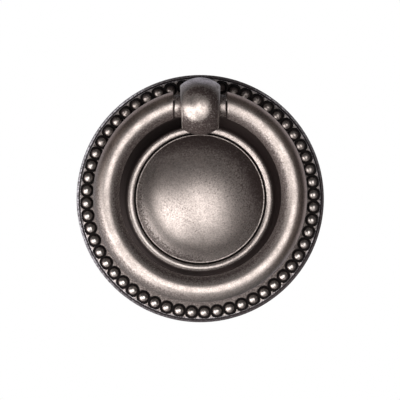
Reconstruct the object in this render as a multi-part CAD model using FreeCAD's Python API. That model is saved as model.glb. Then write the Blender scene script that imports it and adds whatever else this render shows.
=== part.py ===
import FreeCAD, Part
import math
import os

# Ring pull handle: a beaded rosette, a ball post riveted through it, and a ring hinged on the post.
# Millimetres. X is to the right, Z is up the drawer front, and the front of the pull faces -Y.
# The back of the rosette lies on y = 0, and the origin is the mouth of the screw hole in that face.

# Rosette outline, by radius from its own centre and height above the back face
plate_radius = 28.0
rim_height = 2.3
rim_width = 0.5
rim_chamfer = 0.2
rim_groove_width = 0.3
rim_groove_height = 1.8
outer_land_height = 2.5
ridge_outer_radius = 24.05
ridge_inner_radius = 23.35
ridge_height = 3.2
ridge_shoulder_width = 0.45
ridge_shoulder_drop = 0.25
channel_radius = 19.7
channel_floor = 2.0
moulding_radius = 15.65
moulding_height = 4.15
moulding_inner_width = 0.7
moulding_inner_height = 3.9
moulding_outer_width = 1.25
moulding_foot = 3.3
disc_radius = 14.5
disc_groove_floor = 2.9
disc_edge_height = 4.0
disc_lip_width = 0.2
dome_curve_radius = 21.7

# Bead row, each bead in a round socket of its own
bead_count = 56
bead_circle_radius = 25.7
bead_radius = 1.19
bead_first_angle = 2.15
socket_radius = 1.58
socket_floor = 2.35

# Hollow back with a boss round the post
back_rim_width = 1.7
core_depth = 0.8
dome_wall = 1.6
post_boss_radius = 5.0

# Ball post, which stands on a flat seat in the channel
pivot_above_centre = 20.75
pivot_height = 11.0
ball_radius = 6.45
flat_half_width = 4.35
flat_draft = 2.3
flat_edge_chamfer = 0.22
collar_radius = 2.5
collar_reach = 5.77
collar_edge = 0.15
stem_waist = 3.0
stem_neck = 3.3
foot_radius = 3.6
foot_thickness = 0.7
shank_radius = 2.9
rivet_flare = 0.5
screw_core_radius = 1.65
screw_hole_depth = 8.0
drill_point_angle = 118.0

# Ring, open at the top, with a pin on each end
ring_radius = 21.1
ring_above_centre = 0.75
tube_radius = 2.92
ring_end_reach = 6.05
pin_radius = 1.25
pin_length = 3.1
pin_tip = 0.2

# Clearances
pivot_clearance = 0.05
pin_end_clearance = 0.5
foot_clearance = 0.1
shank_clearance = 0.05
seat_spot = 0.05
overshoot = 1.0

axis_point = FreeCAD.Vector(0, 0, 0)
sideways = FreeCAD.Vector(1, 0, 0)
outward = FreeCAD.Vector(0, -1, 0)
plate_centre = FreeCAD.Vector(0, 0, -pivot_above_centre)
pivot = outward * pivot_height
seat_height = channel_floor - seat_spot


def at(radius, height):
    """A point of a turned outline, by its radius and its height above the back face."""
    return FreeCAD.Vector(radius, -height, 0)


def line(*points):
    """Straight edges through the points in turn."""
    return [Part.makeLine(a, b) for a, b in zip(points, points[1:])]


def arc(start, middle, end):
    """One arc through three points."""
    return [Part.Arc(start, middle, end).toShape()]


def sphere_arc(radius, centre_height, start_angle, end_angle):
    """An arc of a sphere's outline, by angles from its outward axis."""
    angles = (start_angle, (start_angle + end_angle) / 2, end_angle)
    return arc(*[at(radius * math.sin(a), centre_height + radius * math.cos(a)) for a in angles])


def turned(edges, centre=axis_point):
    """The solid that a closed outline sweeps round the outward axis through a centre."""
    solid = Part.Face(Part.Wire(edges)).revolve(axis_point, outward, 360)
    solid.translate(centre)
    return solid


def upright(radius, low, high, centre=axis_point):
    """A cylinder between two heights above the back face."""
    return Part.makeCylinder(radius, high - low, centre + outward * low, outward)


def rosette_outline():
    """Half section of the rosette, from its back rim over the front to the dome and back inside."""
    outer = plate_radius
    groove_outer = outer - rim_width
    groove_inner = groove_outer - rim_groove_width
    shoulder_radius = ridge_inner_radius - ridge_shoulder_width
    shoulder_height = ridge_height - ridge_shoulder_drop
    moulding_outer = moulding_radius + moulding_outer_width
    moulding_inner = moulding_radius - moulding_inner_width
    dome_edge = disc_radius - disc_lip_width
    dome_lean = math.asin(dome_edge / dome_curve_radius)
    dome_centre = disc_edge_height - dome_curve_radius * math.cos(dome_lean)
    core_curve = dome_curve_radius - dome_wall
    core_lean = math.acos((core_depth - dome_centre) / core_curve)
    core_edge = core_curve * math.sin(core_lean)
    return (
        line(
            at(outer, 0),
            at(outer, rim_height - rim_chamfer),
            at(outer - rim_chamfer, rim_height),
            at(groove_outer, rim_height),
            at(groove_outer, rim_groove_height),
            at(groove_inner, rim_groove_height),
            at(groove_inner, outer_land_height),
            at(ridge_outer_radius, ridge_height),
            at(ridge_inner_radius, ridge_height),
            at(shoulder_radius, shoulder_height),
        )
        + arc(
            at(shoulder_radius, shoulder_height),
            at(channel_radius, channel_floor),
            at(moulding_outer, moulding_foot),
        )
        + arc(
            at(moulding_outer, moulding_foot),
            at(moulding_radius, moulding_height),
            at(moulding_inner, moulding_inner_height),
        )
        + line(
            at(moulding_inner, moulding_inner_height),
            at(moulding_inner, disc_groove_floor),
            at(disc_radius, disc_groove_floor),
            at(disc_radius, disc_edge_height),
            at(dome_edge, disc_edge_height),
        )
        + sphere_arc(dome_curve_radius, dome_centre, dome_lean, 0)
        + line(at(0, dome_centre + dome_curve_radius), at(0, dome_centre + core_curve))
        + sphere_arc(core_curve, dome_centre, 0, core_lean)
        + line(
            at(core_edge, core_depth),
            at(outer - back_rim_width, core_depth),
            at(outer - back_rim_width, 0),
            at(outer, 0),
        )
    )


def bead_places():
    """The bead centres on the back plane, in turn round the rosette."""
    pitch = 2 * math.pi / bead_count
    first = math.radians(bead_first_angle)
    places = []
    for number in range(bead_count):
        turn = first + number * pitch
        reach = FreeCAD.Vector(math.cos(turn), 0, math.sin(turn)) * bead_circle_radius
        places.append(plate_centre + reach)
    return places


def make_backplate():
    """The cast rosette: its turned form, the beads in their sockets, and the boss for the post."""
    plate = turned(rosette_outline(), plate_centre)
    places = bead_places()
    sockets = [upright(socket_radius, socket_floor, ridge_height, place) for place in places]
    plate = plate.cut(sockets[0].multiFuse(sockets[1:]))
    plate = plate.cut(upright(foot_radius + foot_clearance, seat_height, ridge_height + overshoot))
    beads = [Part.makeSphere(bead_radius, place + outward * socket_floor, outward) for place in places]
    plate = plate.multiFuse(beads + [upright(post_boss_radius, 0, core_depth + dome_wall / 2)])
    bore_radius = shank_radius + shank_clearance
    flare = Part.makeCone(bore_radius + rivet_flare, bore_radius, rivet_flare, axis_point, outward)
    return plate.cut([upright(bore_radius, 0, ridge_height), flare]).removeSplitter()


def post_outline():
    """Half section of the post, from the riveted end of its shank up to the front of the ball."""
    foot_top = seat_height + foot_thickness
    neck_lean = math.pi - math.asin(stem_neck / ball_radius)
    neck_height = pivot_height + ball_radius * math.cos(neck_lean)
    return (
        line(
            at(0, 0),
            at(shank_radius + rivet_flare, 0),
            at(shank_radius, rivet_flare),
            at(shank_radius, seat_height),
            at(foot_radius, seat_height),
            at(foot_radius, foot_top),
        )
        + arc(
            at(foot_radius, foot_top),
            at(stem_waist, (foot_top + neck_height) / 2),
            at(stem_neck, neck_height),
        )
        + sphere_arc(ball_radius, pivot_height, neck_lean, 0)
        + line(at(0, pivot_height + ball_radius), at(0, 0))
    )


def flats_wedge():
    """The drafted block that leaves the ball two side flats, a little narrower at the bottom."""
    reach = ball_radius + overshoot
    spread = reach * math.tan(math.radians(flat_draft))
    top = flat_half_width + spread
    bottom = flat_half_width - spread
    corners = [(-bottom, -reach), (bottom, -reach), (top, reach), (-top, reach), (-bottom, -reach)]
    section = Part.makePolygon([FreeCAD.Vector(x, overshoot, z) for x, z in corners])
    return Part.Face(section).extrude(outward * (pivot_height + reach + overshoot))


def make_ball_post():
    """The post: ball with side flats, pivot collars, stem, foot, riveted shank and screw hole."""
    post = turned(post_outline()).common(flats_wedge())
    beyond_foot = (foot_radius + flat_half_width) / 2
    flat_edges = [edge for edge in post.Edges if abs(edge.CenterOfMass.x) > beyond_foot]
    post = post.makeChamfer(flat_edge_chamfer, flat_edges)
    collar_start = pivot - sideways * collar_reach
    collars = Part.makeCylinder(collar_radius, 2 * collar_reach, collar_start, sideways)
    collars = collars.makeChamfer(collar_edge, [edge for edge in collars.Edges if edge.Closed])
    hole_bottom = ring_end_reach - pin_length - pin_end_clearance
    cuts = []
    for side in (-1, 1):
        start = pivot + sideways * side * hole_bottom
        length = collar_reach + overshoot - hole_bottom
        cuts.append(Part.makeCylinder(pin_radius + pivot_clearance, length, start, sideways * side))
    point_height = screw_core_radius / math.tan(math.radians(drill_point_angle / 2))
    point_start = outward * screw_hole_depth
    cuts.append(upright(screw_core_radius, 0, screw_hole_depth))
    cuts.append(Part.makeCone(screw_core_radius, 0, point_height, point_start, outward))
    return post.fuse(collars).cut(cuts).removeSplitter()


def make_ring():
    """The open ring: a round bar in a circle, its two ends square to the pivot, a pin on each."""
    centre = plate_centre + FreeCAD.Vector(0, -pivot_height, ring_above_centre)
    hoop = Part.makeTorus(ring_radius, tube_radius, centre, outward)
    height = ring_radius + tube_radius + overshoot
    gap_corner = centre + FreeCAD.Vector(-ring_end_reach, -tube_radius - overshoot, 0)
    gap = Part.makeBox(2 * ring_end_reach, 2 * (tube_radius + overshoot), height, gap_corner)
    pins = []
    for side in (-1, 1):
        start = pivot + sideways * side * (ring_end_reach + tube_radius / 2)
        length = pin_length + tube_radius / 2
        pin = Part.makeCylinder(pin_radius, length, start, sideways * -side)
        tip = [edge for edge in pin.Edges if edge.Closed and abs(edge.CenterOfMass.x) < ring_end_reach]
        pins.append(pin.makeChamfer(pin_tip, tip))
    return hoop.cut(gap).multiFuse(pins).removeSplitter()


os.makedirs("parts", exist_ok=True)
for name, shape in (
    ("backplate", make_backplate()),
    ("ball_post", make_ball_post()),
    ("ring", make_ring()),
):
    shape.exportStep(os.path.join("parts", name + ".step"))
    print(name, len(shape.Solids), shape.isValid(), round(shape.Volume, 1), len(shape.Faces))
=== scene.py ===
import math
import bmesh
import bpy
from mathutils import Matrix, Vector


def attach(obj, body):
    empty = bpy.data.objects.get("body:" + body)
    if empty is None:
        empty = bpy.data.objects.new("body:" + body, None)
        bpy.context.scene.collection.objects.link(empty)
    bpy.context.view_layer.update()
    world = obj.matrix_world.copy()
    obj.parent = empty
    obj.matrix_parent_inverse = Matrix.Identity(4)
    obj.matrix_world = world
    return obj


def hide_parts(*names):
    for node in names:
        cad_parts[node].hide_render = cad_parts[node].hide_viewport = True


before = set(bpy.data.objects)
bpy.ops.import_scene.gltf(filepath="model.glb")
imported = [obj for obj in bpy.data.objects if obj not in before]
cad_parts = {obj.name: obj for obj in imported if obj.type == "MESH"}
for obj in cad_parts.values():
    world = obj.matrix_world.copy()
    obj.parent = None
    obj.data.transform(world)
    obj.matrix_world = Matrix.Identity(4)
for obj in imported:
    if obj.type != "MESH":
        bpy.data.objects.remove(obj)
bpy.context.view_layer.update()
print("frame loaded:", sorted(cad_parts))

# Shapes are worked out in millimetres and scaled to metres once each mesh is whole.
millimetre = 0.001
fullTurn = 2 * math.pi
nearAxis = 0.001  # where the outline of a turned tool starts and ends
overshoot = 1.0  # how far a cutting tool reaches past the surface
cornerShare = 0.45  # the most that a soft corner takes of the edges beside it
shading = {"sharpAngle": 38, "edgeWeight": 40}  # edges sharper than this angle stay crisp


def turns(count):
    return [fullTurn * k / count for k in range(count)]


def circlePoints(start, middle, end, steps):
    # points of the arc through three points, without the first one
    (ax, ay), (bx, by), (cx, cy) = start, middle, end
    aSquare, bSquare, cSquare = ax**2 + ay**2, bx**2 + by**2, cx**2 + cy**2
    area = 2 * (ax * (by - cy) + bx * (cy - ay) + cx * (ay - by))
    centreX = (aSquare * (by - cy) + bSquare * (cy - ay) + cSquare * (ay - by)) / area
    centreY = (aSquare * (cx - bx) + bSquare * (ax - cx) + cSquare * (bx - ax)) / area
    radius = math.hypot(ax - centreX, ay - centreY)
    first, mid, last = [math.atan2(y - centreY, x - centreX) for x, y in (start, middle, end)]
    toMid = (mid - first) % fullTurn
    toLast = (last - first) % fullTurn
    if toMid > toLast:
        toLast -= fullTurn
    angles = [first + toLast * k / steps for k in range(1, steps + 1)]
    return [(centreX + radius * math.cos(a), centreY + radius * math.sin(a)) for a in angles]


def spherePoint(curve, centreHeight, lean):
    # a point of a sphere's outline, by its angle from the axis
    return (curve * math.sin(lean), centreHeight + curve * math.cos(lean))


def softCorner(before, corner, after, reach, steps=3):
    # a small round between two edges of an outline
    before, corner, after = Vector(before), Vector(corner), Vector(after)
    start = corner + (before - corner).normalized() * min(reach, (before - corner).length * cornerShare)
    end = corner + (after - corner).normalized() * min(reach, (after - corner).length * cornerShare)
    points = []
    for k in range(steps + 1):
        t = k / steps
        points.append(tuple(start * (1 - t) ** 2 + corner * 2 * t * (1 - t) + end * t**2))
    return points


def softened(outline):
    # outline of (radius, height, corner reach); a reach of 0 keeps the corner sharp
    points = []
    last = len(outline) - 1
    for k, (radius, height, reach) in enumerate(outline):
        if reach and 0 < k < last:
            points += softCorner(outline[k - 1][:2], (radius, height), outline[k + 1][:2], reach)
        else:
            points.append((radius, height))
    return points


def addRing(points, ring):
    points.extend(ring)
    return list(range(len(points) - len(ring), len(points)))


def addFace(faces, corners):
    # corners that fall together count once
    kept = [c for i, c in enumerate(corners) if c != corners[i - 1]]
    if len(kept) > 2:
        faces.append(tuple(kept))


def bridge(faces, ringA, ringB):
    count = len(ringA)
    for k in range(count):
        n = (k + 1) % count
        addFace(faces, [ringA[k], ringA[n], ringB[n], ringB[k]])


def closeRing(points, faces, ring, tip):
    points.append(tip)
    for k in range(len(ring)):
        faces.append((ring[k], ring[(k + 1) % len(ring)], len(points) - 1))


def sweep(points, faces, outline, place, angles):
    # turns an outline round an axis; place(radius, angle, height) gives the point
    rings = [addRing(points, [place(radius, a, height) for a in angles]) for radius, height in outline]
    for ringA, ringB in zip(rings, rings[1:]):
        bridge(faces, ringA, ringB)
    return rings


def addObject(name, data):
    thing = bpy.data.objects.new(name, data)
    bpy.context.scene.collection.objects.link(thing)
    return thing


def faceOut(mesh):
    # turns every face to look outwards
    work = bmesh.new()
    work.from_mesh(mesh)
    bmesh.ops.recalc_face_normals(work, faces=work.faces)
    if work.calc_volume(signed=True) < 0:
        bmesh.ops.reverse_faces(work, faces=work.faces)
    work.to_mesh(mesh)
    work.free()


def newPiece(name, points, faces):
    mesh = bpy.data.meshes.new(name)
    mesh.from_pydata([tuple(p) for p in points], [], faces)
    mesh.update()
    faceOut(mesh)
    return addObject(name, mesh)


def onPost(radius, angle, height):
    return (radius * math.cos(angle), -height, radius * math.sin(angle))


def turnedTool(name, outline, segments):
    # a closed form on the post's axis, to be joined to a piece or cut from it
    points, faces = [], []
    rings = sweep(points, faces, outline, onPost, turns(segments))
    closeRing(points, faces, rings[0], onPost(0, 0, outline[0][1]))
    closeRing(points, faces, rings[-1], onPost(0, 0, outline[-1][1]))
    return newPiece(name, points, faces)


def shaped(piece, tool, operation):
    # joins or cuts a piece with a tool, keeps the result and drops the tool
    change = piece.modifiers.new("shape", "BOOLEAN")
    change.operation = operation
    change.object = tool
    change.solver = "MANIFOLD"
    evaluated = piece.evaluated_get(bpy.context.evaluated_depsgraph_get())
    mesh = bpy.data.meshes.new_from_object(evaluated)
    piece.modifiers.clear()
    piece.data = mesh
    bpy.data.objects.remove(tool)
    return piece


def finished(piece):
    # to metres, smooth shading with its crisp edges kept
    mesh = piece.data
    mesh.transform(Matrix.Scale(millimetre, 4))
    mesh.shade_smooth()
    mesh.set_sharp_from_angle(angle=math.radians(shading["sharpAngle"]))
    edges = piece.modifiers.new("edge shading", "WEIGHTED_NORMAL")
    edges.keep_sharp = True
    edges.weight = shading["edgeWeight"]
    print(piece.name, "built with", len(mesh.polygons), "faces")
    return piece


# Two values are kept at each point of a piece for its finish. The first is 0 in the open, near 1 in
# patina, above 1 in soot and below 0 where the metal is rubbed bright. Beside the real patina, soot and
# wear it carries painted shade where the lamps light less and painted highlights where they light most.
# The second, the tint, is 1 where the finish's tint is full; it paints a cool reflection on the rosette's
# rim and the ball's top, and a warmer brown on the shaded side of the ring.
margin = 0.02  # how far past an edge its own patina still counts


def fade(low, high, value):
    # a smooth step from 0 at low to 1 at high, which may be the lower number
    t = min(max((value - low) / (high - low), 0.0), 1.0)
    return t * t * (3 - 2 * t)


def gain(term, value):
    # a term is an amount and the two values between which it comes in
    amount, low, high = term
    return amount * fade(low, high, value)


def along(lean, x, z):
    # how far a point lies in the direction of a lean
    return lean[0] * x + lean[1] * z


def markPoints(piece, name, rule):
    layer = piece.data.attributes.new(name, "FLOAT", "POINT")
    layer.data.foreach_set("value", [rule(v.co / millimetre) for v in piece.data.vertices])


# Rosette: rim, beads in sockets, ridge, channel, moulding ring and dome, with its hollow back
rosetteSize = {
    "belowPivot": 20.75,
    "plateRadius": 28.0,
    "rimHeight": 2.3,
    "rimWidth": 0.5,
    "grooveWidth": 0.3,
    "grooveHeight": 1.8,
    "outerLand": 2.5,
    "landGap": 0.04,
    "landRise": 0.01,
    "ridgeOuter": 24.05,
    "ridgeInner": 23.35,
    "ridgeHeight": 3.2,
    "shoulderWidth": 0.45,
    "shoulderDrop": 0.25,
    "channelRadius": 19.7,
    "channelFloor": 2.0,
    "mouldingRadius": 15.65,
    "mouldingHeight": 4.15,
    "mouldingInner": 14.95,
    "mouldingInnerHeight": 3.9,
    "mouldingOuter": 16.9,
    "mouldingFoot": 3.3,
    "discRadius": 14.5,
    "discGroove": 2.9,
    "discEdge": 4.0,
    "discLip": 0.2,
    "domeCurve": 21.7,
    "domeCentre": -12.319,  # brings the dome's edge to discEdge
    "domeWall": 1.6,
    "coreDepth": 0.8,
    "backRim": 1.7,
    "bossRadius": 5.0,
    "seatHeight": 1.95,
    "seatRadius": 3.7,
    "seatCutTop": 5.0,
    "boreRadius": 2.95,
    "rivetFlare": 0.5,
    "edgeSoftness": 0.12,
    "rimSoftness": 0.16,
    "grooveSoftness": 0.05,
    "landSoftness": 0.04,
    "mouldingSoftness": 0.1,
    "discSoftness": 0.05,
    "discGrooveSoftness": 0.04,
    "hollowSoftness": 0.2,
    "coreSoftness": 0.3,
    "bossSoftness": 0.1,
    "channelSteps": 22,
    "mouldingSteps": 14,
    "domeSteps": 40,
    "coreSteps": 25,
    "toolSegments": 96,
}

# The beads, each in a round socket of its own
beadRow = {
    "count": 56,
    "circle": 25.7,
    "firstAngle": 2.15,
    "radius": 1.19,
    "rings": 8,
    "socket": 1.58,
    "floor": 2.35,
    "slicesPerBead": 6,
    "lipSoftness": 0.06,
    "lipShare": 0.6,
    "wallGap": 0.045,
    "landShares": (0.34, 0.67),  # where the land between two beads is cut, from its edge to the sockets
}


def onRosette(radius, angle, height):
    return (radius * math.cos(angle), -height, radius * math.sin(angle) - rosetteSize["belowPivot"])


def rimOutline(s, landEdge):
    # from the flat back of the rim, round the outside, to the land that the beads stand in
    grooveOuter = s["plateRadius"] - s["rimWidth"]
    grooveInner = grooveOuter - s["grooveWidth"]
    return softened([
        (s["plateRadius"] - s["backRim"], 0, 0),
        (s["plateRadius"], 0, s["edgeSoftness"]),
        (s["plateRadius"], s["rimHeight"], s["rimSoftness"]),
        (grooveOuter, s["rimHeight"], s["grooveSoftness"]),
        (grooveOuter, s["grooveHeight"], s["grooveSoftness"]),
        (grooveInner, s["grooveHeight"], s["grooveSoftness"]),
        (grooveInner, s["outerLand"], s["landSoftness"]),
        (landEdge, s["outerLand"] + s["landRise"], 0),
    ])[:-1]


def faceOutline(s):
    # from the ridge inside the beads to the dome, short of its crown
    shoulder = (s["ridgeInner"] - s["shoulderWidth"], s["ridgeHeight"] - s["shoulderDrop"])
    mouldingOuter = (s["mouldingOuter"], s["mouldingFoot"])
    mouldingTop = (s["mouldingRadius"], s["mouldingHeight"])
    mouldingInner = (s["mouldingInner"], s["mouldingInnerHeight"])
    channelMiddle = (s["channelRadius"], s["channelFloor"])
    channel = circlePoints(shoulder, channelMiddle, mouldingOuter, s["channelSteps"])
    outline = softened([
        (s["ridgeOuter"], s["ridgeHeight"], 0),
        (s["ridgeInner"], s["ridgeHeight"], s["edgeSoftness"]),
        (*shoulder, s["edgeSoftness"]),
        (*channel[1], 0),
    ])[1:]
    outline += channel[2:]
    outline += circlePoints(mouldingOuter, mouldingTop, mouldingInner, s["mouldingSteps"])[:-1]
    edgeLean = math.asin((s["discRadius"] - s["discLip"]) / s["domeCurve"])
    leans = [edgeLean * (1 - k / s["domeSteps"]) for k in range(s["domeSteps"])]
    dome = [spherePoint(s["domeCurve"], s["domeCentre"], lean) for lean in leans]
    outline += softened([
        (*outline[-1], 0),
        (*mouldingInner, s["mouldingSoftness"]),
        (s["mouldingInner"], s["discGroove"], s["discGrooveSoftness"]),
        (s["discRadius"], s["discGroove"], s["discGrooveSoftness"]),
        (s["discRadius"], s["discEdge"], s["discSoftness"]),
        (*dome[0], s["discSoftness"]),
        (*dome[1], 0),
    ])[1:]
    return outline + dome[2:]


def backOutline(s):
    # from the rim's back edge into the hollow under the dome, short of its crown
    curve = s["domeCurve"] - s["domeWall"]
    innerRim = s["plateRadius"] - s["backRim"]
    coreLean = math.acos((s["coreDepth"] - s["domeCentre"]) / curve)
    leans = [coreLean * (1 - k / s["coreSteps"]) for k in range(s["coreSteps"])]
    core = [spherePoint(curve, s["domeCentre"], lean) for lean in leans]
    return softened([
        (innerRim, 0, 0),
        (innerRim, s["coreDepth"], s["hollowSoftness"]),
        (*core[0], s["coreSoftness"]),
        (*core[1], 0),
    ])[1:] + core[2:]


def beadCell(points, faces, cell, outerEdge, innerEdge, sideLeft, sideRight, landHeight):
    # one bead, its socket and the land round it, as rays from the bead's centre
    b = beadRow
    middle = math.radians(b["firstAngle"]) + cell * fullTurn / b["count"]
    centre = Vector((b["circle"] * math.cos(middle), b["circle"] * math.sin(middle)))
    # the edge of the cell, once round: (foot or None, top) as point numbers
    edge = [(None, p) for p in outerEdge] + sideRight
    edge += [(None, p) for p in reversed(innerEdge)] + list(reversed(sideLeft))

    def addPoint(offset, height):
        x, z = centre + offset
        points.append((x, -height, z - rosetteSize["belowPivot"]))
        return len(points) - 1

    rays = []
    for foot, top in edge:
        x, _, z = points[top if top is not None else foot]
        reach = Vector((x, z + rosetteSize["belowPivot"])) - centre
        distance = reach.length
        across = reach / distance
        dome = []
        for k in range(1, b["rings"] + 1):
            lean = math.pi / 2 * k / b["rings"]
            offset = across * b["radius"] * math.sin(lean)
            dome.append(addPoint(offset, b["floor"] + b["radius"] * math.cos(lean)))
        if foot is not None and top is None:
            rays.append((dome, foot, []))
        elif foot is not None:
            rays.append((dome, foot, [top, top, top]))
        else:
            wall = min(b["socket"], distance - b["wallGap"])
            lip = min(b["lipSoftness"], (distance - wall) * b["lipShare"])
            height = landHeight((centre + across * (wall + lip)).length)
            low = addPoint(across * wall, b["floor"])
            mid = addPoint(across * wall, height - lip)
            high = addPoint(across * (wall + lip), height)
            rays.append((dome, low, [mid, high, top]))
    crown = addPoint(Vector((0, 0)), b["floor"] + b["radius"])
    for k, (dome, low, rise) in enumerate(rays):
        nextDome, nextLow, nextRise = rays[(k + 1) % len(rays)]
        faces.append((crown, dome[0], nextDome[0]))
        for i in range(b["rings"] - 1):
            faces.append((dome[i], dome[i + 1], nextDome[i + 1], nextDome[i]))
        faces.append((dome[-1], low, nextLow, nextDome[-1]))
        if rise and nextRise:
            here, there = [low] + rise, [nextLow] + nextRise
            for i in range(3):
                addFace(faces, [here[i], here[i + 1], there[i + 1], there[i]])


def sideLines(points, start, landEdge, landHeight):
    # the lines between neighbouring cells, cut where the two sockets meet
    s, b = rosetteSize, beadRow
    pitch = fullTurn / b["count"]
    halfWidth = b["circle"] * math.sin(pitch / 2)
    level = b["circle"] * math.cos(pitch / 2)
    reach = math.sqrt(b["socket"] ** 2 - halfWidth**2)
    outerCusp, innerCusp = level + reach, level - reach
    near, far = b["landShares"]
    radii = [
        (landEdge + (outerCusp - landEdge) * near, "land"),
        (landEdge + (outerCusp - landEdge) * far, "land"),
        (outerCusp, "cusp"),
        (level + reach / 2, "floor"),
        (level, "floor"),
        (level - reach / 2, "floor"),
        (innerCusp, "cusp"),
        (innerCusp + (s["ridgeOuter"] - innerCusp) * near, "land"),
        (innerCusp + (s["ridgeOuter"] - innerCusp) * far, "land"),
    ]
    sides = []
    for cell in range(b["count"]):
        turn = start + cell * pitch
        side = []
        for radius, kind in radii:
            foot = top = None
            if kind != "land":
                points.append(onRosette(radius, turn, b["floor"]))
                foot = len(points) - 1
            if kind != "floor":
                points.append(onRosette(radius, turn, landHeight(radius)))
                top = len(points) - 1
            side.append((foot, top))
        sides.append(side)
    return sides


def makeRosette():
    s, b = rosetteSize, beadRow
    slices = b["count"] * b["slicesPerBead"]
    start = math.radians(b["firstAngle"]) - fullTurn / b["count"] / 2
    angles = [start + turn for turn in turns(slices)]
    grooveInner = s["plateRadius"] - s["rimWidth"] - s["grooveWidth"]
    landEdge = grooveInner - s["landGap"]

    def landHeight(radius):
        share = (grooveInner - radius) / (grooveInner - s["ridgeOuter"])
        return s["outerLand"] + (s["ridgeHeight"] - s["outerLand"]) * share

    points, faces = [], []
    rimLine = rimOutline(s, landEdge) + [(landEdge, landHeight(landEdge))]
    faceLine = [(s["ridgeOuter"], s["ridgeHeight"])] + faceOutline(s)
    outlines = (rimLine, faceLine, backOutline(s))
    rim, face, back = [sweep(points, faces, outline, onRosette, angles) for outline in outlines]
    bridge(faces, rim[0], back[0])
    domeTop = s["domeCentre"] + s["domeCurve"]
    closeRing(points, faces, face[-1], onRosette(0, 0, domeTop))
    closeRing(points, faces, back[-1], onRosette(0, 0, domeTop - s["domeWall"]))

    sides = sideLines(points, start, landEdge, landHeight)
    for cell in range(b["count"]):
        first = cell * b["slicesPerBead"]
        picks = [(first + k) % slices for k in range(b["slicesPerBead"] + 1)]
        outerEdge = [rim[-1][k] for k in picks]
        innerEdge = [face[0][k] for k in picks]
        nextSide = sides[(cell + 1) % b["count"]]
        beadCell(points, faces, cell, outerEdge, innerEdge, sides[cell], nextSide, landHeight)
    rosette = newPiece("beaded_rosette", points, faces)

    bossTop = s["coreDepth"] + s["domeWall"] / 2
    bossOutline = softened([
        (nearAxis, 0, 0),
        (s["bossRadius"], 0, s["bossSoftness"]),
        (s["bossRadius"], bossTop, 0),
        (nearAxis, bossTop, 0),
    ])
    flareRadius = s["boreRadius"] + s["rivetFlare"]
    seatOutline = [
        (nearAxis, -overshoot), (flareRadius, -overshoot), (flareRadius, 0),
        (s["boreRadius"], s["rivetFlare"]), (s["boreRadius"], s["seatHeight"]),
        (s["seatRadius"], s["seatHeight"]), (s["seatRadius"], s["seatCutTop"]), (nearAxis, s["seatCutTop"]),
    ]
    rosette = shaped(rosette, turnedTool("boss", bossOutline, s["toolSegments"]), "UNION")
    return finished(shaped(rosette, turnedTool("seat", seatOutline, s["toolSegments"]), "DIFFERENCE"))


# How full of patina each part is, with painted shade and painted highlights laid in among it. A group of
# three is a term: an amount, and the two values between which it comes in. A lean is a direction and a
# place a point, both to the right and up from the piece's centre.
rosettePatinaAndLight = {
    "back": 0.54,
    "backLevel": 1.0,
    "backOver": 0.2,
    "rim": 0.56,
    "rimSide": (0.3, 1.8, 0.2),
    "rimTopShade": (0.3, 22, 27),
    "rimShadeLowRight": 0.15,
    "rimSheenTint": (1.0, -1.3, -0.6),
    "groove": 0.72,
    "grooveUpperShade": (0.5, -12, 12),
    "grooveShadeLean": (0.6, 0.8),
    "socket": 1.4,
    "socketRise": 0.1,
    "outerLand": 0.42,
    "land": 0.58,
    "beadCrown": -0.42,
    "beadRise": (1.0, 0.3, 1.02),
    "beadOuterShade": (-0.35, 0, 0.9),
    "beadUpperShade": (0.55, 0, 24),
    "beadTopShade": (0.8, 24.2, 25),
    "beadAwayShade": (0.16, 0.9, 0.3),
    "beadShadeLean": (-0.924, -0.383),
    "ridge": 0.58,
    "ridgeEdge": 0.1,
    "channel": 1.1,
    "channelInner": 1.2,
    "channelRightLight": (-0.35, -5, 15),
    "channelEdge": (-0.7, 2.5, 3.05),
    "channelInside": 1.0,
    "moulding": -0.04,
    "mouldingLowHighlight": (-0.13, 0.2, 0.9),
    "mouldingUpShade": (0.15, 0.3, 1.0),
    "mouldingCrest": (1.0, 0.95, 0.35),
    "mouldingLightLean": (-0.6, -0.8),
    "discGroove": 1.4,
    "discGrooveTop": 0.08,
    "discEdge": 0.3,
    "discEdgeMargin": 0.01,
    "dome": 0.1,
    "domeUpperShade": (0.34, -1, 11),
    "domeUpperShadeLean": (0.3, 0.92),
    "domeRightShade": (0.2, 3.5, 12.5),
    "domeRightShadeLow": (1.0, 9, 0),
    "domeHotSpotShade": (0.12, 5.5, 2.0),
    "domeHotSpotPlace": (-6.0, -3.6),
    "domeRimShade": (0.3, 8, 14),
    "domeRimShadeUpper": (1.0, -8, 4),
    "domeRimShadeLean": (0.5, 0.86),
    "domeLowHighlight": (-0.22, 7.5, 10.0),
    "domeLowHighlightEnd": (1.0, 13.2, 11.6),
    "domeFootShade": (0.48, 11.6, 14.1),
    "domeLitSide": (1.0, 5.0, 11.0),
    "domeLitLean": (-0.78, -0.63),
}


def rimPatinaAndShade(p, x, z, height):
    # painted shade: the rim is darker towards the lower right and at the top beside the ball, lighter
    # towards the upper left
    right = p["rimShadeLowRight"] * (x - z) / rosetteSize["plateRadius"]
    return p["rim"] + gain(p["rimSide"], height) + right + gain(p["rimTopShade"], z)


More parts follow.
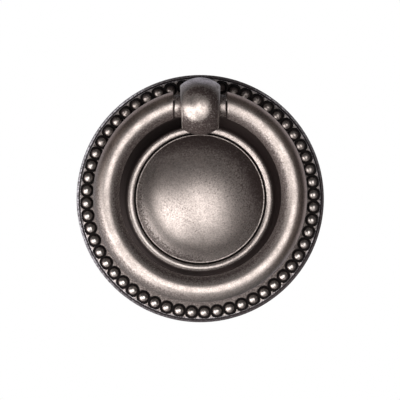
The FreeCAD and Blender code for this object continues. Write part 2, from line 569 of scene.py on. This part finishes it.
def beadRowPatinaAndShade(p, x, z, height):
    # soot in the sockets, and beads rubbed bright on their crowns; painted shade darkens the crowns over
    # the upper half, most at the very top beside the ball, and away from the lower left where the light
    # comes from, and darkens the outer half of each bead
    b = beadRow
    radius = math.hypot(x, z)
    pitch = fullTurn / b["count"]
    first = math.radians(b["firstAngle"])
    turn = first + round((math.atan2(z, x) - first) / pitch) * pitch
    off = math.hypot(x - b["circle"] * math.cos(turn), z - b["circle"] * math.sin(turn))
    if off < b["radius"] + margin and height > b["floor"] - margin:
        rise = gain(p["beadRise"], height - b["floor"]) * (1 + gain(p["beadOuterShade"], radius - b["circle"]))
        crown = p["beadCrown"] + gain(p["beadUpperShade"], z) + gain(p["beadTopShade"], z)
        crown += gain(p["beadAwayShade"], along(p["beadShadeLean"], x, z) / b["circle"])
        return p["socket"] + (crown - p["socket"]) * rise
    if height < b["floor"] + p["socketRise"]:
        return p["socket"]
    return p["land"] if radius < b["circle"] else p["outerLand"]


def channelPatinaAndLight(p, x, height):
    # painted light: the soot is lifted towards the right, where the channel lies in deeper shade
    return (p["channel"] + gain(p["channelRightLight"], x)) * (1 + gain(p["channelEdge"], height))


def mouldingPatinaAndLight(p, x, z, height):
    # bright along the crest, soot on its foot and in the groove inside it; a painted highlight rubs the
    # crest brighter towards the lower left and painted shade darkens it towards the upper right
    s = rosetteSize
    radius = math.hypot(x, z)
    lowLeft = along(p["mouldingLightLean"], x, z) / radius
    top = p["moulding"] + gain(p["mouldingLowHighlight"], lowLeft) + gain(p["mouldingUpShade"], -lowLeft)
    if radius > s["mouldingRadius"]:
        foot = p["channelInner"] + gain(p["channelRightLight"], x)
        return foot + (top - foot) * gain(p["mouldingCrest"], radius - s["mouldingRadius"])
    wall = fade(s["mouldingFoot"], s["mouldingInnerHeight"], height)
    return p["discGroove"] + (top - p["discGroove"]) * wall


def domePatinaAndLight(p, x, z):
    # painted shade: darker towards the top and the right, round its upper rim and on the hot spot of the
    # highlight; towards the lower left a painted highlight rubs a band bright, with darker painted shade at
    # its edge
    radius = math.hypot(x, z)
    brightX, brightZ = p["domeHotSpotPlace"]
    upper = gain(p["domeUpperShade"], along(p["domeUpperShadeLean"], x, z))
    upper += gain(p["domeRimShade"], radius) * gain(p["domeRimShadeUpper"], along(p["domeRimShadeLean"], x, z))
    right = gain(p["domeRightShade"], x) * gain(p["domeRightShadeLow"], z)
    hotSpotShade = gain(p["domeHotSpotShade"], math.hypot(x - brightX, z - brightZ))
    edge = gain(p["domeLowHighlight"], radius) * gain(p["domeLowHighlightEnd"], radius) + gain(p["domeFootShade"], radius)
    low = edge * gain(p["domeLitSide"], along(p["domeLitLean"], x, z))
    return p["dome"] + upper + right + hotSpotShade + low


def rosetteRecessAndLight(point):
    s, p = rosetteSize, rosettePatinaAndLight
    x, height, z = point.x, -point.y, point.z + s["belowPivot"]
    radius = math.hypot(x, z)
    grooveOuter = s["plateRadius"] - s["rimWidth"]
    coreCurve = s["domeCurve"] - s["domeWall"]
    hollow = s["domeCentre"] + math.sqrt(max(coreCurve**2 - radius**2, 0))
    if radius < grooveOuter and height < max(hollow, p["backLevel"]) + p["backOver"]:
        return p["back"]
    if radius > grooveOuter - margin:
        return rimPatinaAndShade(p, x, z, height)
    if radius > grooveOuter - s["grooveWidth"] - margin and height < s["outerLand"] - margin:
        # painted shade: the groove is darker towards the upper right, lightest towards the lower left where
        # the light comes from
        return p["groove"] + gain(p["grooveUpperShade"], along(p["grooveShadeLean"], x, z))
    if radius > s["ridgeOuter"] + margin:
        return beadRowPatinaAndShade(p, x, z, height)
    if radius > s["ridgeInner"] - p["ridgeEdge"]:
        return p["ridge"]
    if radius > s["channelRadius"] - p["channelInside"]:
        return channelPatinaAndLight(p, x, height)
    if radius > s["discRadius"] + margin:
        return mouldingPatinaAndLight(p, x, z, height)
    if radius > s["discRadius"] - margin and height < s["discEdge"] - p["discGrooveTop"]:
        return p["discGroove"]
    if radius > s["discRadius"] - s["discLip"] - p["discEdgeMargin"]:
        return p["discEdge"]
    return domePatinaAndLight(p, x, z)


def rosetteRimSheen(point):
    # painted reflection: the outer rim is tinted a cooler, bluer grey than the rest, for the white room
    # seen in its rounded edge
    s = rosetteSize
    radius = math.hypot(point.x, point.z + s["belowPivot"])
    return gain(rosettePatinaAndLight["rimSheenTint"], radius - s["plateRadius"])


# Ball post: a ball with two drafted side flats, a collar on each for the ring, a waisted stem and foot
postSize = {
    "pivotHeight": 11.0,
    "ballRadius": 6.45,
    "flatHalf": 4.35,
    "flatDraft": 2.3,
    "flatRadii": (2.62, 3.1, 3.6, 4.1),
    "flatSoftness": 0.26,
    "collarRadius": 2.5,
    "collarReach": 5.77,
    "collarSoftness": 0.17,
    "pinHole": 1.3,
    "pinHoleEnd": 2.45,
    "pinHoleMiddle": 0.65,
    "pinHoleSoftness": 0.06,
    "stemWaist": 3.0,
    "stemNeck": 3.3,
    "stemInset": 0.2,
    "stemTop": 1.2,
    "stemTip": 1.4,
    "footRadius": 3.6,
    "footTop": 2.65,
    "footSeat": 1.95,
    "footSoftness": 0.1,
    "seatSoftness": 0.05,
    "shankRadius": 2.9,
    "rivetFlare": 0.5,
    "rivetSoftness": 0.04,
    "screwRadius": 1.65,
    "screwDepth": 8.0,
    "drillPoint": 0.99,
    "slicesRound": 128,
    "ballSteps": 18,
    "edgeSteps": 4,
    "edgeLean": 0.05,
    "waistSteps": 14,
    "stemSegments": 96,
    "screwSegments": 64,
}


def ballHalf(s, turn):
    # outline of one half from the pin hole out to the collar, over the flat and the ball, as (x, radius)
    draft = math.cos(turn) * math.tan(math.radians(s["flatDraft"]))
    flat, ball = s["flatHalf"], s["ballRadius"]
    square = 1 + draft**2
    edgeRadius = (math.sqrt((flat * draft) ** 2 + square * (ball**2 - flat**2)) - flat * draft) / square
    edgeX = flat + edgeRadius * draft
    past = math.acos(edgeX / ball) + s["flatSoftness"] / ball
    pastEdge = (ball * math.cos(past + s["edgeLean"]), ball * math.sin(past + s["edgeLean"]))
    holeEnd = (s["pinHoleEnd"], s["pinHole"])
    holeMouth = (s["collarReach"], s["pinHole"])
    collarEdge = (s["collarReach"], s["collarRadius"])
    outline = [(s["pinHoleEnd"], s["pinHoleMiddle"]), holeEnd]
    outline += softCorner(holeEnd, holeMouth, collarEdge, s["pinHoleSoftness"])
    outline += softCorner(holeMouth, collarEdge, (flat, s["collarRadius"]), s["collarSoftness"])
    for radius in (s["collarRadius"], *s["flatRadii"]):
        outline.append((flat + radius * draft, radius))
    outline += softCorner(outline[-1], (edgeX, edgeRadius), pastEdge, s["flatSoftness"], s["edgeSteps"])
    for k in range(1, s["ballSteps"] + 1):
        lean = past + (math.pi / 2 - past) * k / s["ballSteps"]
        outline.append((ball * math.cos(lean), ball * math.sin(lean)))
    return outline


def makeBallPost():
    s = postSize
    points, faces = [], []
    angles = turns(s["slicesRound"])
    halves = [ballHalf(s, turn) for turn in angles]

    def around(x, radius, turn):
        return (x, -s["pivotHeight"] - radius * math.sin(turn), radius * math.cos(turn))

    # from the pin hole on the right over the ball to the one on the left
    count = len(halves[0])
    steps = [(k, 1) for k in range(count)] + [(k, -1) for k in reversed(range(count - 1))]
    rings = []
    for k, side in steps:
        rings.append(addRing(points, [around(side * h[k][0], h[k][1], t) for h, t in zip(halves, angles)]))
    for ringA, ringB in zip(rings, rings[1:]):
        bridge(faces, ringA, ringB)
    for ring, side in ((rings[0], 1), (rings[-1], -1)):
        closeRing(points, faces, ring, (side * s["pinHoleEnd"], -s["pivotHeight"], 0))
    post = newPiece("ball_and_stem", points, faces)

    neck = s["pivotHeight"] - math.sqrt(s["ballRadius"] ** 2 - s["stemNeck"] ** 2)
    foot = (s["footRadius"], s["footTop"])
    waistMiddle = (s["stemWaist"], (s["footTop"] + neck) / 2)
    waist = circlePoints(foot, waistMiddle, (s["stemNeck"], neck), s["waistSteps"])
    stemOutline = softened([
        (nearAxis, 0, 0),
        (s["shankRadius"] + s["rivetFlare"], 0, s["rivetSoftness"]),
        (s["shankRadius"], s["rivetFlare"], 0),
        (s["shankRadius"], s["footSeat"], 0),
        (s["footRadius"], s["footSeat"], s["seatSoftness"]),
        (*foot, s["footSoftness"]),
        (*waist[0], 0),
    ])
    stemOutline += waist[1:]
    stemOutline += [(s["stemNeck"] - s["stemInset"], neck + s["stemTop"]), (nearAxis, neck + s["stemTip"])]
    screwOutline = [
        (nearAxis, -overshoot),
        (s["screwRadius"], -overshoot),
        (s["screwRadius"], s["screwDepth"]),
        (nearAxis, s["screwDepth"] + s["drillPoint"]),
    ]
    post = shaped(post, turnedTool("stem", stemOutline, s["stemSegments"]), "UNION")
    return finished(shaped(post, turnedTool("screw hole", screwOutline, s["screwSegments"]), "DIFFERENCE"))


postPatinaAndLight = {
    "stem": 0.75,
    "stemOver": 0.9,
    "end": 0.8,
    "endDepth": 0.05,
    "collar": 0.05,
    "collarCorner": (0.6, 0.6, 0.25),
    "collarShadeFlanks": (0.55, 0.5, 1.5),
    "collarHighlightDrop": 0.1,
    "flatEdge": -0.2,
    "flatEdgeDepth": 0.6,
    "flatEdgeRadii": (4.45, 5.05),
    "flat": 0.1,
    "flatFoot": (0.55, 0.9, -0.1),
    "flatDepth": 0.4,
    "ball": 0.06,
    "ballShadeAround": 0.66,
    "ballHighlightSpot": (1.0, 1.9, 3.6),
    "ballHighlightPlace": (-0.75, -0.5),
    "ballTopSheenEdge": (1.0, 3.9, 5.3),
    "ballTopSheenUpper": (1.0, -1, 1),
    "ballLeftLight": (-0.27, 2, 4),
    "ballLeftLightUpper": (1.0, -2.5, -0.5),
    "topSheenTint": (1.0, 4.0, 5.6),
}


def ballPatinaAndLight(p, x, z):
    # patina and painted shade all round a clean spot on the front of the ball placed under the highlight,
    # less on its left; its topmost edge is left clean as a painted reflection of the white room above
    spotX, spotZ = p["ballHighlightPlace"]
    around = gain(p["ballHighlightSpot"], math.hypot(x - spotX, z - spotZ))
    sheenTop = gain(p["ballTopSheenEdge"], math.hypot(x, z)) * gain(p["ballTopSheenUpper"], z)
    left = gain(p["ballLeftLight"], -x) * gain(p["ballLeftLightUpper"], z)
    return p["ball"] + (p["ballShadeAround"] + left) * around * (1 - sheenTop)


def postRecessAndLight(point):
    s, p = postSize, postPatinaAndLight
    aside, height = abs(point.x), -point.y
    fromAxis = math.hypot(height - s["pivotHeight"], point.z)
    edgeInner, edgeOuter = p["flatEdgeRadii"]
    if height < s["pivotHeight"] - s["ballRadius"] + p["stemOver"]:
        return p["stem"]
    if aside > s["collarReach"] - p["endDepth"]:
        return p["end"]
    if fromAxis < s["collarRadius"] + margin:
        # painted shade on the collar's upper and lower flanks leaves a clean band at mid-height under the
        # highlight
        corner = gain(p["collarCorner"], aside - s["flatHalf"])
        return p["collar"] + max(corner, gain(p["collarShadeFlanks"], abs(point.z + p["collarHighlightDrop"])))
    if aside > s["flatHalf"] - p["flatEdgeDepth"] and edgeInner < fromAxis < edgeOuter:
        return p["flatEdge"]
    if aside > s["flatHalf"] - p["flatDepth"] and fromAxis < s["flatHalf"]:
        return p["flat"] + gain(p["flatFoot"], fromAxis - s["collarRadius"])
    return ballPatinaAndLight(p, point.x, point.z)


def ballTopSheen(point):
    # painted reflection: the top of the ball is tinted cooler as well, for the white room above
    return gain(postPatinaAndLight["topSheenTint"], point.z)


# Ring: a round bar in a circle, open at the top, square ends and a pin on each end
ringSize = {
    "centreDrop": 20.0,
    "height": 11.0,
    "radius": 21.1,
    "bar": 2.92,
    "endReach": 6.05,
    "endSoftness": 0.12,
    "endCorner": 0.3,
    "pinRadius": 1.25,
    "pinLength": 3.1,
    "pinTip": 0.2,
    "slicesAlong": 260,
    "slicesRound": 64,
}


def makeRing():
    s = ringSize
    points, faces = [], []
    angles = turns(s["slicesRound"])
    soft = s["endSoftness"]

    def barPoint(travel, turn):
        radius = s["radius"] + s["bar"] * math.cos(turn)
        endAngle = math.acos((s["endReach"] + soft) / radius)
        angle = endAngle - travel * (2 * endAngle + math.pi)
        y = -s["height"] + s["bar"] * math.sin(turn)
        return (radius * math.cos(angle), y, radius * math.sin(angle) - s["centreDrop"])

    def endPoint(side, back, inset, turn):
        radius = s["radius"] + s["bar"] * math.cos(turn)
        middle = math.sqrt(s["radius"] ** 2 - s["endReach"] ** 2) - s["centreDrop"]
        z = math.sqrt(radius**2 - (s["endReach"] + back) ** 2) - s["centreDrop"]
        share = 1 - inset / s["bar"]
        y = -s["height"] + s["bar"] * math.sin(turn) * share
        return (side * (s["endReach"] + back), y, middle + (z - middle) * share)

    def pinPoint(side, reach, radius, turn):
        return (side * reach, -s["height"] + radius * math.sin(turn), radius * math.cos(turn))

    rings = []
    for k in range(s["slicesAlong"] + 1):
        rings.append(addRing(points, [barPoint(k / s["slicesAlong"], t) for t in angles]))
    for ringA, ringB in zip(rings, rings[1:]):
        bridge(faces, ringA, ringB)
    tip = s["endReach"] - s["pinLength"]
    corner = soft * s["endCorner"]
    steps = (
        (endPoint, corner, corner),
        (endPoint, 0, soft),
        (pinPoint, s["endReach"], s["pinRadius"]),
        (pinPoint, tip + s["pinTip"], s["pinRadius"]),
        (pinPoint, tip, s["pinRadius"] - s["pinTip"]),
    )
    for side, last in ((1, rings[0]), (-1, rings[-1])):
        for place, first, second in steps:
            ring = addRing(points, [place(side, first, second, t) for t in angles])
            bridge(faces, last, ring)
            last = ring
        closeRing(points, faces, last, (side * tip, -s["height"], 0))
    return finished(newPiece("pull_ring", points, faces))


ringPatinaAndLight = {
    "end": 0.7,
    "endLow": -5,
    "bar": 0.04,
    "innerShade": (0.58, -0.2, 2.2),
    "outer": (0.45, 0.5, 1.7),
    "outerLow": (1.0, 0.2, 0.9),
    "outerLean": (-0.75, -0.66),
    "behind": (0.45, 0.3, 2.0),
    "tintOuter": (1.0, 0.5, 1.8),
    "tintUpper": (1.0, -0.6, 0.2),
    "tintLean": (0.45, 0.9),
}


def ringRecessAndLight(point):
    # patina and painted shade on the inner flank, painted shade on the outer flank towards the lower left,
    # darker on the back of the bar; the ends are dark in the joint
    s, p = ringSize, ringPatinaAndLight
    if abs(point.x) < s["endReach"] + margin and point.z > p["endLow"]:
        return p["end"]
    x, z = point.x, point.z + s["centreDrop"]
    inwards = s["radius"] - math.hypot(x, z)
    outer = gain(p["outer"], -inwards) * gain(p["outerLow"], along(p["outerLean"], x, z) / s["radius"])
    return p["bar"] + max(gain(p["innerShade"], inwards), outer, gain(p["behind"], point.y + s["height"]))


def ringShadeTint(point):
    # painted shade colour: the outer side of the bar is a warmer brown over the upper half, away from the
    # light
    s, p = ringSize, ringPatinaAndLight
    x, z = point.x, point.z + s["centreDrop"]
    upper = gain(p["tintUpper"], along(p["tintLean"], x, z) / s["radius"])
    return gain(p["tintOuter"], math.hypot(x, z) - s["radius"]) * upper


rosette = makeRosette()
ballPost = makeBallPost()
pullRing = makeRing()
for piece, recessAndLightRule, tintRule in (
    (rosette, rosetteRecessAndLight, rosetteRimSheen),
    (ballPost, postRecessAndLight, ballTopSheen),
    (pullRing, ringRecessAndLight, ringShadeTint),
):
    markPoints(piece, "recessAndPaintedLight", recessAndLightRule)
    markPoints(piece, "paintedLightTint", tintRule)
print("patina marked")


# Shader helpers: an input takes a number, a colour, or the output of another node
def setInputs(tree, node, inputs):
    for socket, value in inputs.items():
        if isinstance(value, bpy.types.NodeSocket):
            tree.links.new(value, node.inputs[socket])
        else:
            node.inputs[socket].default_value = (*value, 1) if isinstance(value, tuple) else value


def addNode(tree, kind, inputs=None, **values):
    node = tree.nodes.new(kind)
    for key, value in values.items():
        setattr(node, key, value)
    setInputs(tree, node, inputs or {})
    return node


def calculate(tree, operation, a, b):
    return addNode(tree, "ShaderNodeMath", {0: a, 1: b}, operation=operation).outputs[0]


def ramp(tree, source, span, out=(0.0, 1.0), shape="SMOOTHSTEP"):
    inputs = {"Value": source, "From Min": span[0], "From Max": span[1], "To Min": out[0], "To Max": out[1]}
    return addNode(tree, "ShaderNodeMapRange", inputs, interpolation_type=shape).outputs["Result"]


def blend(tree, factor, a, b, data="RGBA", kind="MIX"):
    inputs = {"Factor": factor, "A": a, "B": b}
    return addNode(tree, "ShaderNodeMix", inputs, data_type=data, blend_type=kind).outputs["Result"]


def noise(tree, place, size, detail, rough):
    inputs = {"Vector": place, "Scale": 1 / (size * millimetre), "Detail": detail, "Roughness": rough}
    return addNode(tree, "ShaderNodeTexNoise", inputs).outputs["Fac"]


# Finish: cast metal with a dark patina left in the recesses, rubbed bright on the edges and crests,
# with the painted shade, painted highlights and painted tints that are marked on each piece
pewter = {
    "patina": (0.056, 0.039, 0.037),
    "soot": (0.014, 0.012, 0.012),
    "patinaRoughness": 0.58,
    "patinaMetal": 0.4,
    "patches": (0.4, 4, 0.7),  # size in millimetres, detail, roughness
    "clouds": (3.0, 3, 0.5),
    "grain": (0.3, 2, 0.6),
    "breakSpan": (0.44, 0.58),
    "patinaSpan": (0.12, 0.78),
    "spotSpan": (0.40, 0.58),
    "sootSpan": (1.0, 1.35),
    "wornSpan": (0.0, -0.5),
    "grainSpan": (0.32, 0.68),
    "roughnessSpan": (0.35, 0.65),
    "bumpSpan": (0.0, 0.7),
    "bumpStrength": (0.33, 0.08),
    "bumpDepth": 0.018,
    "bumpPatches": 2.0,
}

finishes = {
    "rosette_pewter": {
        **pewter,
        "metal": (0.67, 0.60, 0.575),
        "metalLow": (0.43, 0.38, 0.36),
        "worn": (0.86, 0.82, 0.79),
        "paintedLightTint": (0.80, 0.88, 1.02),
        "roughness": 0.41,
        "roughnessSpread": 0.04,
        "wornRoughness": 0.27,
        "mottle": 0.15,
        "breakUp": (2.1, 0.8),
    },
    "post_pewter": {
        **pewter,
        "metal": (0.74, 0.665, 0.63),
        "metalLow": (0.50, 0.44, 0.415),
        "worn": (0.72, 0.68, 0.65),
        "paintedLightTint": (1.2, 1.22, 1.32),
        "roughness": 0.32,
        "roughnessSpread": 0.05,
        "wornRoughness": 0.2,
        "mottle": 0.45,
        "breakUp": (1.3, 1.3),
    },
    "ring_pewter": {
        **pewter,
        "metal": (0.63, 0.565, 0.54),
        "metalLow": (0.42, 0.37, 0.35),
        "worn": (0.72, 0.68, 0.65),
        "paintedLightTint": (1.12, 0.98, 0.90),
        "roughness": 0.35,
        "roughnessSpread": 0.06,
        "wornRoughness": 0.2,
        "mottle": 0.25,
        "breakUp": (0.85, 0.85),
    },
}


def makeFinish(name, f):
    material = bpy.data.materials.new(name)
    material.use_nodes = True
    tree = material.node_tree
    place = addNode(tree, "ShaderNodeTexCoord").outputs["Object"]
    recessAndPaintedLight = addNode(tree, "ShaderNodeAttribute", attribute_name="recessAndPaintedLight").outputs["Fac"]
    paintedLightTint = addNode(tree, "ShaderNodeAttribute", attribute_name="paintedLightTint").outputs["Fac"]
    patches, clouds, grain = [noise(tree, place, *f[key]) for key in ("patches", "clouds", "grain")]

    # patina and painted shade fill where marked, their border broken by the patches, and spots of patina
    # elsewhere
    breakUp = ramp(tree, recessAndPaintedLight, f["breakSpan"], f["breakUp"])
    border = calculate(tree, "MULTIPLY", calculate(tree, "SUBTRACT", patches, 0.5), breakUp)
    deep = ramp(tree, calculate(tree, "ADD", border, recessAndPaintedLight), f["patinaSpan"])
    average = calculate(tree, "MULTIPLY", calculate(tree, "ADD", patches, clouds), 0.5)
    spots = ramp(tree, average, f["spotSpan"], (f["mottle"], 0.0))
    coveredAndShaded = calculate(tree, "MAXIMUM", deep, spots)
    soot = ramp(tree, recessAndPaintedLight, f["sootSpan"])
    # rubbed bright where marked: wear on edges and crests, and painted highlights
    rubbedAndLit = ramp(tree, recessAndPaintedLight, f["wornSpan"])

    bare = blend(tree, ramp(tree, grain, f["grainSpan"]), f["metalLow"], f["metal"])
    colour = blend(tree, coveredAndShaded, bare, blend(tree, soot, f["patina"], f["soot"]))
    uncovered = calculate(tree, "SUBTRACT", 1.0, coveredAndShaded)
    colour = blend(tree, calculate(tree, "MULTIPLY", rubbedAndLit, uncovered), colour, f["worn"])
    colour = blend(tree, paintedLightTint, colour, f["paintedLightTint"], kind="MULTIPLY")

    spread = f["roughnessSpread"]
    rough = ramp(tree, patches, f["roughnessSpan"], (f["roughness"] - spread, f["roughness"] + spread))
    rough = blend(tree, rubbedAndLit, rough, f["wornRoughness"], data="FLOAT")
    rough = blend(tree, coveredAndShaded, rough, f["patinaRoughness"], data="FLOAT")
    dull = calculate(tree, "MULTIPLY", coveredAndShaded, calculate(tree, "SUBTRACT", 1.0, soot))
    relief = calculate(tree, "ADD", calculate(tree, "MULTIPLY", patches, f["bumpPatches"]), grain)
    bump = addNode(tree, "ShaderNodeBump", {
        "Strength": ramp(tree, rubbedAndLit, f["bumpSpan"], f["bumpStrength"]),
        "Distance": f["bumpDepth"] * millimetre,
        "Height": relief,
    })
    setInputs(tree, tree.nodes["Principled BSDF"], {
        "Base Color": colour,
        "Roughness": rough,
        "Metallic": ramp(tree, dull, (0, 1), (1.0, f["patinaMetal"])),
        "Normal": bump.outputs["Normal"],
    })
    return material


for piece, node, body, slot in (
    (rosette, "backplate", "rosette", "rosette_pewter"),
    (ballPost, "ball_post", "rosette", "post_pewter"),
    (pullRing, "ring", "swing_ring", "ring_pewter"),
):
    piece.data.materials.clear()
    piece.data.materials.append(makeFinish(slot, finishes[slot]))
    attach(piece, body)
    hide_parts(node)
print("finishes on")


# Studio: white all round for the camera, soft lamps in front, a pale floor below
studio = {
    "room": (0.03, 0.03, 0.031),
    "white": (1.0, 1.0, 1.0),
    "around": (0.90, 0.92, 1.0),
    "aroundSpan": (0.03, 0.5),
    "aroundShare": 0.42,
    "aim": (0.0, -0.008, -0.0207),
    "lampDistance": 0.5,
    "floorDrop": -0.45,
    "floorRadius": 0.7,
    "floorRings": 12,
    "floorSegments": 96,
    "floorColour": (0.82, 0.82, 0.82),
    "floorRoughness": 0.9,
    "floorGlow": (0.75, 1.0),
    "floorGlowFrom": 0.1,
    "floorGlowTo": 0.96,
}

# off is the angle away from the view, turn the angle round it from the right, spread half the lamp's width
warmWhite = (1.0, 0.97, 0.94)
lamps = {
    "key": {"off": 8.5, "turn": 300, "spread": 23, "radiance": 2.1, "colour": warmWhite},
    "low left": {"off": 59, "turn": 212, "spread": 28, "radiance": 2.8, "colour": warmWhite},
    "between": {"off": 29, "turn": 210, "spread": 11, "radiance": 1.2, "colour": warmWhite},
    "far left": {"off": 90, "turn": 216, "spread": 14, "radiance": 0.5, "colour": (1.0, 0.98, 0.97)},
    "low right": {"off": 38, "turn": 298, "spread": 14, "radiance": 0.9, "colour": warmWhite},
}


def makeLamp(name, lamp):
    off, turn, spread = [math.radians(lamp[key]) for key in ("off", "turn", "spread")]
    data = bpy.data.lights.new(name, "AREA")
    data.shape = "DISK"
    data.size = 2 * studio["lampDistance"] * math.tan(spread)
    data.energy = lamp["radiance"] * math.pi * data.size**2
    data.color = lamp["colour"]
    towards = Vector((math.sin(off) * math.cos(turn), -math.cos(off), math.sin(off) * math.sin(turn)))
    light = addObject(name, data)
    light.location = Vector(studio["aim"]) + towards * studio["lampDistance"]
    light.rotation_mode = "QUATERNION"
    light.rotation_quaternion = towards.to_track_quat("Z", "Y")
    light.visible_camera = False


def makeRoom():
    # white for the camera, and for reflections a soft white that comes in behind the object
    world = bpy.data.worlds.new("white room")
    bpy.context.scene.world = world
    world.use_nodes = True
    tree = world.node_tree
    rays = addNode(tree, "ShaderNodeLightPath").outputs
    direction = addNode(tree, "ShaderNodeTexCoord").outputs["Generated"]
    backwards = addNode(tree, "ShaderNodeSeparateXYZ", {"Vector": direction}).outputs["Y"]
    behind = ramp(tree, backwards, studio["aroundSpan"], (0.0, studio["aroundShare"]))
    glossy = calculate(tree, "MULTIPLY", rays["Is Glossy Ray"], behind)
    shown = calculate(tree, "MAXIMUM", rays["Is Camera Ray"], rays["Is Transmission Ray"])
    colour = blend(tree, glossy, studio["room"], studio["around"])
    colour = blend(tree, shown, colour, studio["white"])
    setInputs(tree, tree.nodes["Background"], {"Color": colour, "Strength": 1.0})


def onFloor(radius, angle, height):
    return (radius * math.cos(angle), radius * math.sin(angle), height)


def makeFloor():
    # pale, and for the camera it fades to the white of the room towards its edge
    points, faces = [], []
    radii = [studio["floorRadius"] * k / studio["floorRings"] for k in range(1, studio["floorRings"] + 1)]
    outline = [(radius, 0) for radius in radii]
    rings = sweep(points, faces, outline, onFloor, turns(studio["floorSegments"]))
    closeRing(points, faces, rings[0], onFloor(0, 0, 0))
    mesh = bpy.data.meshes.new("floor")
    mesh.from_pydata(points, [], faces)
    floor = addObject("floor", mesh)
    floor.location = (0, 0, studio["floorDrop"])
    material = bpy.data.materials.new("pale floor")
    material.use_nodes = True
    tree = material.node_tree
    place = addNode(tree, "ShaderNodeTexCoord").outputs["Object"]
    length = addNode(tree, "ShaderNodeVectorMath", {0: place}, operation="LENGTH").outputs["Value"]
    glowSpan = (studio["floorGlowFrom"], studio["floorRadius"] * studio["floorGlowTo"])
    glow = ramp(tree, length, glowSpan, studio["floorGlow"], "LINEAR")
    cameraRay = addNode(tree, "ShaderNodeLightPath").outputs["Is Camera Ray"]
    setInputs(tree, tree.nodes["Principled BSDF"], {
        "Base Color": studio["floorColour"],
        "Roughness": studio["floorRoughness"],
        "Emission Color": studio["white"],
        "Emission Strength": calculate(tree, "MULTIPLY", cameraRay, glow),
    })
    mesh.materials.append(material)


for name, lamp in lamps.items():
    makeLamp(name, lamp)
makeRoom()
makeFloor()
print("studio set")

# Camera: straight on, one metre from the rim's plane
view = {"place": (-0.000052, -1.0023, -0.02106), "lens": 397.57, "sensor": 36.0, "clip": (0.1, 20.0)}
cameraData = bpy.data.cameras.new("camera")
cameraData.lens = view["lens"]
cameraData.sensor_width = view["sensor"]
cameraData.clip_start, cameraData.clip_end = view["clip"]
camera = addObject("camera", cameraData)
camera.location = view["place"]
camera.rotation_euler = (math.radians(90), 0, 0)
bpy.context.scene.camera = camera
bpy.context.scene.view_settings.view_transform = "Standard"
